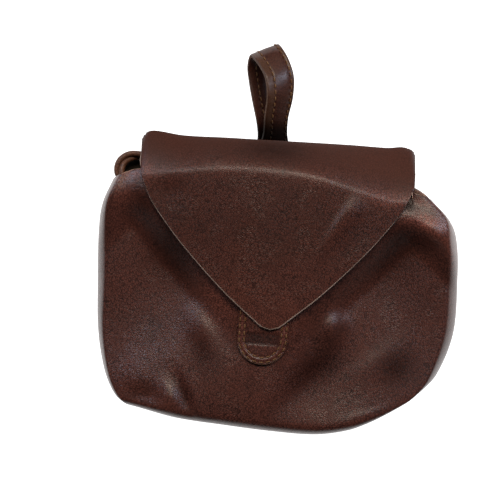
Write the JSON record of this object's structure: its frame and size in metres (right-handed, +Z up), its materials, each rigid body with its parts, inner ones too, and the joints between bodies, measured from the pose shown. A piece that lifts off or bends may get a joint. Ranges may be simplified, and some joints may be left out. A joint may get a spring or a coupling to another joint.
{
  "type": "clutch bag",
  "caption": "Soft brown leather clutch bag with a hollow pouch, a rolled flap with a rounded tip, a twisted wrist loop, a sewn front patch and a mouth drawcord.",
  "frame": {"origin": "middle of the bag's box, on the floor under the back that it lies on", "axes": "+X across the bag to the viewer's right, +Y up the bag from its bottom edge to its wrist loop, +Z up from the floor through the bag's thickness"},
  "size_m": [0.2105, 0.2269, 0.0486],
  "materials": {
    "pouch_leather": "pebbled, semi-matt",
    "flap_leather": "pebbled, semi-matt",
    "loop_leather": "smooth, satin",
    "patch_leather": "smooth, semi-matt",
    "cord_leather": "rough, matt"
  },
  "bodies": {
    "root": {"pouch": "pouch_leather", "flap": "flap_leather", "wrist_loop": "loop_leather", "patch": "patch_leather", "drawcord": "cord_leather"}
  },
  "joints": []
}
